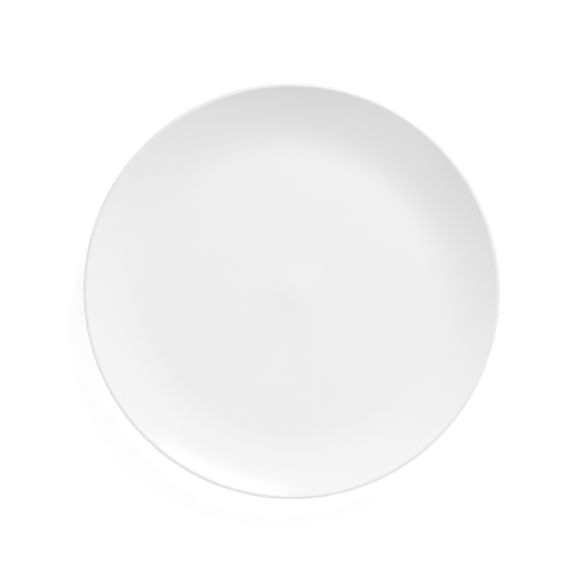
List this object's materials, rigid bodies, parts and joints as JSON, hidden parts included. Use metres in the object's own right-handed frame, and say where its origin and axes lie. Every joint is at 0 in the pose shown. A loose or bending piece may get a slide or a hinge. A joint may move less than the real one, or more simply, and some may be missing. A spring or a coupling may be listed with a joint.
{
  "type": "round serving platter",
  "caption": "Round rimless serving platter: a glazed clay dish with a level well, a low rising wall, a rounded lip and a bare foot ring to stand on.",
  "frame": {"origin": "centre of the foot ring, in the plane of its standing edge", "axes": "+Z up along the axis of revolution, out of the face; with the face towards the viewer as in the picture, +X is right and +Y is up"},
  "size_m": [0.33, 0.33, 0.0257],
  "materials": {
    "bare_clay": "unglazed, dry and fine-grained",
    "white_glaze": "smooth white gloss"
  },
  "bodies": {
    "root": {"clay_body": "bare_clay", "outer_glaze": "white_glaze", "base_glaze": "white_glaze"}
  },
  "joints": []
}
